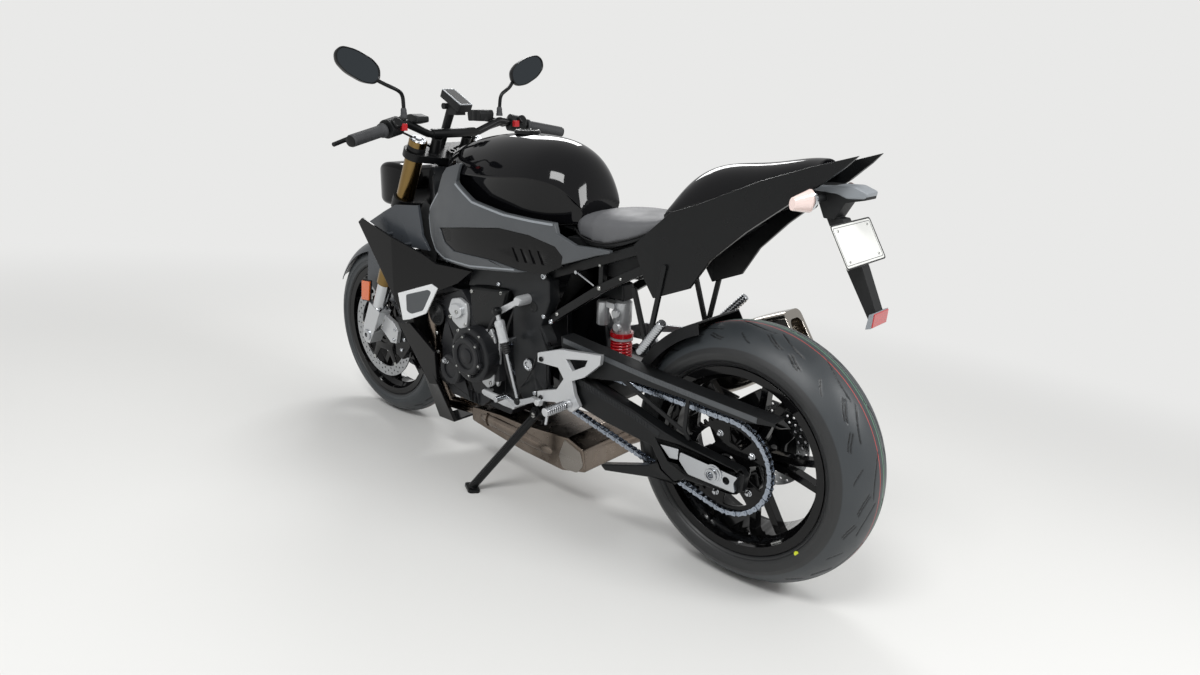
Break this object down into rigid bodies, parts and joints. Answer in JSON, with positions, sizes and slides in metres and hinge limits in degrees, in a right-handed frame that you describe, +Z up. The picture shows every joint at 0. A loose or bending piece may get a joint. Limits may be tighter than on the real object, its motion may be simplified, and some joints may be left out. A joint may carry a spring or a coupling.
{
  "type": "standard motorcycle",
  "caption": "Standard motorcycle without a fairing, parked leaning on its side stand; the fork steers, the wheels roll and the stand folds.",
  "frame": {"origin": "centre of the parked motorcycle's outline, on the floor", "axes": "+X forwards, +Y to the rider's left, +Z up"},
  "size_m": [2.0675, 0.8042, 1.2587],
  "materials": {
    "tyre": "matt tread",
    "black_wheel": "gloss",
    "black_paint": "gloss",
    "dark_paint": "satin",
    "black_metal": "satin",
    "cast_silver": "satin",
    "engine_black": "satin",
    "steel": "satin",
    "bright_steel": "polished",
    "heated_steel": "tinted by heat",
    "gold_metal": "anodised",
    "fin_black": "matt",
    "black_plastic": "fine texture",
    "gloss_plastic": "gloss",
    "grey_plastic": "satin",
    "pale_plastic": "satin",
    "seat_cover": "matt grain",
    "grip_rubber": "matt",
    "plate_white": "satin",
    "lamp_glass": "clear",
    "screen_grey": "gloss",
    "mirror_black": "satin"
  },
  "bodies": {
    "root": {"chain": "steel", "swingarm": "black_metal", "rear_axle": "bright_steel", "frame": "dark_paint", "subframe": "black_metal", "engine_block": "cast_silver", "engine_covers": "engine_black", "exhaust_pipes": "heated_steel", "muffler": "steel", "radiator": "fin_black", "fuel_tank": "black_paint", "tank_side_trims": "dark_paint", "tank_side_inserts": "gloss_plastic", "rider_seat": "seat_cover", "tail_cowl": "black_paint", "tail_side_panels": "black_plastic", "underseat_tray": "black_plastic", "number_plate": "plate_white", "plate_hanger": "black_plastic", "rear_lamps": "lamp_glass", "radiator_shrouds": "gloss_plastic", "shroud_panels": "pale_plastic", "belly_pan": "gloss_plastic", "foot_rests": "cast_silver", "rear_guards": "black_plastic", "rear_caliper": "black_metal", "shock_absorber": "cast_silver"},
    "steering": {"triple_clamps": "black_metal", "fork_tubes": "gold_metal", "fork_legs": "bright_steel", "front_calipers": "black_metal", "handlebar": "black_metal", "grips": "grip_rubber", "bar_controls": "black_plastic", "display": "screen_grey", "mirrors": "mirror_black", "headlight": "black_plastic", "front_mudguard": "grey_plastic"},
    "front_wheel": {"front_rim": "black_wheel", "front_tyre": "tyre", "front_discs": "steel"},
    "rear_wheel": {"rear_rim": "black_wheel", "rear_tyre": "tyre", "rear_disc": "steel", "rear_sprocket": "black_metal"},
    "side_stand": {"side_stand": "black_metal"}
  },
  "joints": [
    {"name": "steering_turn", "type": "hinge", "parent": "root", "child": "steering", "pos_m": [0.45508, -0.02319, 0.8266], "axis": [-0.4099, 0.1269, 0.9032], "range_deg": [-30, 30]},
    {"name": "front_wheel_roll", "type": "hinge", "parent": "steering", "child": "front_wheel", "pos_m": [0.73375, -0.09746, 0.29812], "axis": [0, 0.9903, -0.1392], "continuous": true},
    {"name": "rear_wheel_roll", "type": "hinge", "parent": "root", "child": "rear_wheel", "pos_m": [-0.71325, -0.09461, 0.31842], "axis": [0, 0.9903, -0.1392], "continuous": true},
    {"name": "side_stand_fold", "type": "hinge", "parent": "root", "child": "side_stand", "pos_m": [-0.11625, 0.03968, 0.2536], "axis": [-0.0251, 0.9507, 0.3092], "range_deg": [0, 95.7]}
  ]
}
